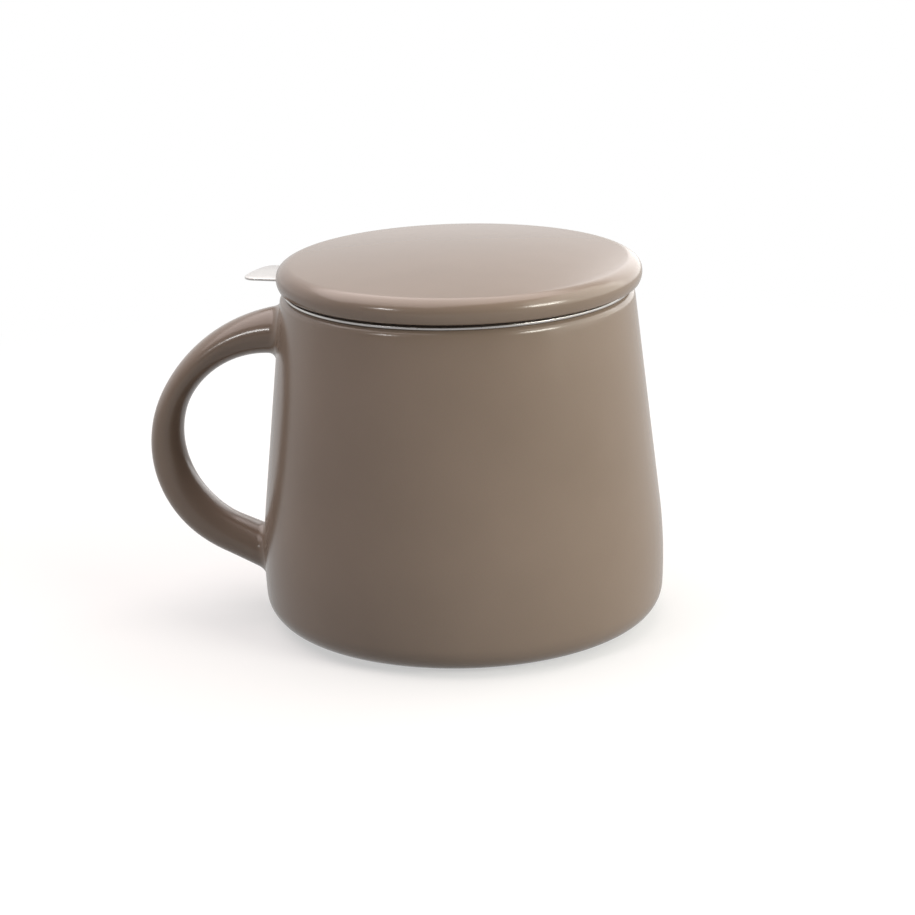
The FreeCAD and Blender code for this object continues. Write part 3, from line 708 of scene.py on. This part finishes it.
def brushed_steel(name, stretch):
    """Stainless sheet: a grey metal whose fine brush marks are noise stretched by the given
    factors, in the roughness and in the surface."""
    steel = bpy.data.materials.new(name)
    add = nodes_of(steel)
    place = add("ShaderNodeTexCoord").outputs["Object"]
    drawn_out = add("ShaderNodeMapping", {"Vector": place, "Scale": stretch})
    marks = add("ShaderNodeTexNoise", {"Vector": drawn_out.outputs[0], "Scale": 1.0, "Detail": 4.0})
    cloud = add("ShaderNodeTexNoise", {"Vector": place, "Scale": 90.0, "Detail": 2.0})
    tone = add("ShaderNodeValToRGB", {"Fac": cloud.outputs["Fac"]})
    tone.color_ramp.elements[0].color = steel_dark
    tone.color_ramp.elements[1].color = steel_light
    gloss = add("ShaderNodeMapRange", {"Value": marks.outputs["Fac"], "To Min": steel_rough[0],
                                       "To Max": steel_rough[1]})
    bump = add("ShaderNodeBump", {"Height": marks.outputs["Fac"], "Strength": 0.15,
                                  "Distance": 0.00005})
    shader = add("ShaderNodeBsdfPrincipled", {"Base Color": tone.outputs["Color"], "Metallic": 1.0,
                                              "Roughness": gloss.outputs[0], "Normal": bump.outputs[0]})
    add("ShaderNodeOutputMaterial", {"Surface": shader.outputs[0]})
    return steel


rim.data.materials.clear()
rim.data.materials.append(brushed_steel("rim_steel", (600.0, 9000.0, 3000.0)))
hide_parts("infuser_rim")
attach(rim, "infuser")


# The strainer's wall is perforated sheet, rolled into a sleeve and closed with one upright weld.
# The holes are staggered, and a plain band is left at both ends and beside the weld.
basket_bottom = lip_height - 63.0 * mm
base_upturn = 4.0 * mm
sleeve_low = basket_bottom + basket_sheet + seam_gap
sleeve_high = collar_end + 6.0 * mm
hole_radius = 0.62 * mm
holes_round = 96
weld_bearing = math.radians(75)
weld_margin = 1.3
row_margin = 2.2 * mm
hole_sides = 8
band_rings = 4

step_round = 2 * math.pi / holes_round
wanted_pitch = basket_radius * step_round * math.sqrt(3) / 2
first_row = basket_bottom + base_upturn + row_margin
last_row = collar_end - row_margin
hole_rows = int((last_row - first_row) / wanted_pitch)
pitch = (last_row - first_row) / hole_rows
# A cell is a leaning square of the sheet, half a step over from foot to head, which staggers the
# rows: its edge has eight points, and its hole eight.
edge_u = np.array([0.5, 0.75, 0.25, -0.25, -0.5, -0.75, -0.25, 0.25])
edge_v = np.array([0.0, 0.5, 0.5, 0.5, 0.0, -0.5, -0.5, -0.5])
edge_turn = np.arctan2(edge_v * pitch, edge_u * step_round * basket_radius)
hole_u = np.cos(edge_turn) * hole_radius / (step_round * basket_radius)
hole_v = np.sin(edge_turn) * hole_radius / pitch
column, row = np.meshgrid(np.arange(holes_round), np.arange(hole_rows))
centre_u = (column + row / 2).ravel()
centre_v = (row + 0.5).ravel()
gap_from_weld = (centre_u * step_round - weld_bearing + math.pi) % (2 * math.pi) - math.pi
open_cell = np.abs(gap_from_weld) > weld_margin * step_round


def on_sleeve(u, v, radius):
    """A place u steps round and v rows up, on a cylinder: (r cos a, r sin a, z)."""
    angle = u * step_round
    return np.stack([radius * np.cos(angle), radius * np.sin(angle), first_row + v * pitch], -1)


inner_radius = basket_radius - basket_sheet
cells = []
for radius in (basket_radius, inner_radius):
    for u, v in ((edge_u, edge_v), (hole_u, hole_v)):
        cells.append(on_sleeve(centre_u[:, None] + u, centre_v[:, None] + v, radius))
points = np.stack(cells, 1)
number = np.arange(points.shape[0] * 4 * hole_sides).reshape(-1, 4, hole_sides)
around = np.roll(number, -1, axis=2)


def strip(one, two, which):
    """Squares between two rings of eight points of each cell."""
    sides = [number[which, one], around[which, one], around[which, two], number[which, two]]
    return np.stack(sides, -1).reshape(-1, 4)


sheet_faces = [strip(0, 1, open_cell), strip(1, 3, open_cell), strip(3, 2, open_cell),
               number[~open_cell, 0], number[~open_cell, 2][:, ::-1]]
sleeve = piece("sleeve", points, sheet_faces)
band_angle = (np.arange(2 * holes_round) + 0.5) * step_round / 2


def band(name, at_holes, at_end):
    """A plain band of the sleeve from the perforated part to an end, open towards the holes."""
    heights = np.linspace(at_holes, at_end, band_rings)
    loop = np.concatenate([
        np.stack([np.full(band_rings, basket_radius), heights], 1),
        np.stack([np.full(band_rings, inner_radius), heights[::-1]], 1),
    ])
    grid = np.stack([loop[:, :1] * np.cos(band_angle), loop[:, :1] * np.sin(band_angle),
                     loop[:, 1:] + 0 * band_angle], -1)
    return piece(name, grid, [grid_faces(len(loop), len(band_angle))])


upper_band = band("upper_band", last_row, sleeve_high)
lower_band = band("lower_band", first_row, sleeve_low)
sleeve = joined(sleeve, upper_band, lower_band)
tidy(sleeve)
sleeve.data.materials.clear()
sleeve.data.materials.append(brushed_steel("sleeve_steel", (900.0, 900.0, 6000.0)))
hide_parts("infuser_wall")
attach(sleeve, "infuser")


# The strainer's bottom is a shallow pressed cap of the same perforated sheet. Its turned-up edge
# goes round the sleeve and is soldered to it.
base_bend = 0.5 * mm
cap_inside = basket_radius + seam_gap
cap_outside = cap_inside + basket_sheet
flat_radius = cap_inside - base_bend
hole_gap = 2.45 * mm
hole_field = 34.2 * mm
base_hole_sides = 10
lattice = np.arange(-20, 21)
across, up = np.meshgrid(lattice, lattice)
hole_x = ((across + (up % 2) / 2) * hole_gap).ravel()
hole_y = (up * hole_gap * math.sqrt(3) / 2).ravel()
within = np.hypot(hole_x, hole_y) < hole_field
hole_ring = arc((0, 0), hole_radius, 0, 2 * math.pi, base_hole_sides + 1)[:-1]
base_holes = [hole_ring + place for place in np.stack([hole_x[within], hole_y[within]], 1)]
base_edge = arc((0, 0), flat_radius, 0, 2 * math.pi, round_steps + 1)[:-1]
base_plate = plate("strainer_base", [base_edge, *base_holes], basket_bottom, basket_sheet)
cap_middle = (flat_radius, basket_bottom + basket_sheet + base_bend)
cap_line = np.concatenate([
    arc(cap_middle, base_bend + basket_sheet, -quarter, 0, 8),
    [(cap_outside, basket_bottom + base_upturn), (cap_inside, basket_bottom + base_upturn)],
    arc(cap_middle, base_bend, 0, -quarter, 8),
])
cap_edge = thrown("cap_edge", evened(np.concatenate([cap_line, cap_line[:1]]), 1.0 * mm)[:-1])
tidy(cap_edge)
base = joined(base_plate, cap_edge)
base.data.materials.clear()
base.data.materials.append(brushed_steel("base_steel", (500.0, 7000.0, 500.0)))
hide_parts("infuser_base")
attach(base, "infuser")
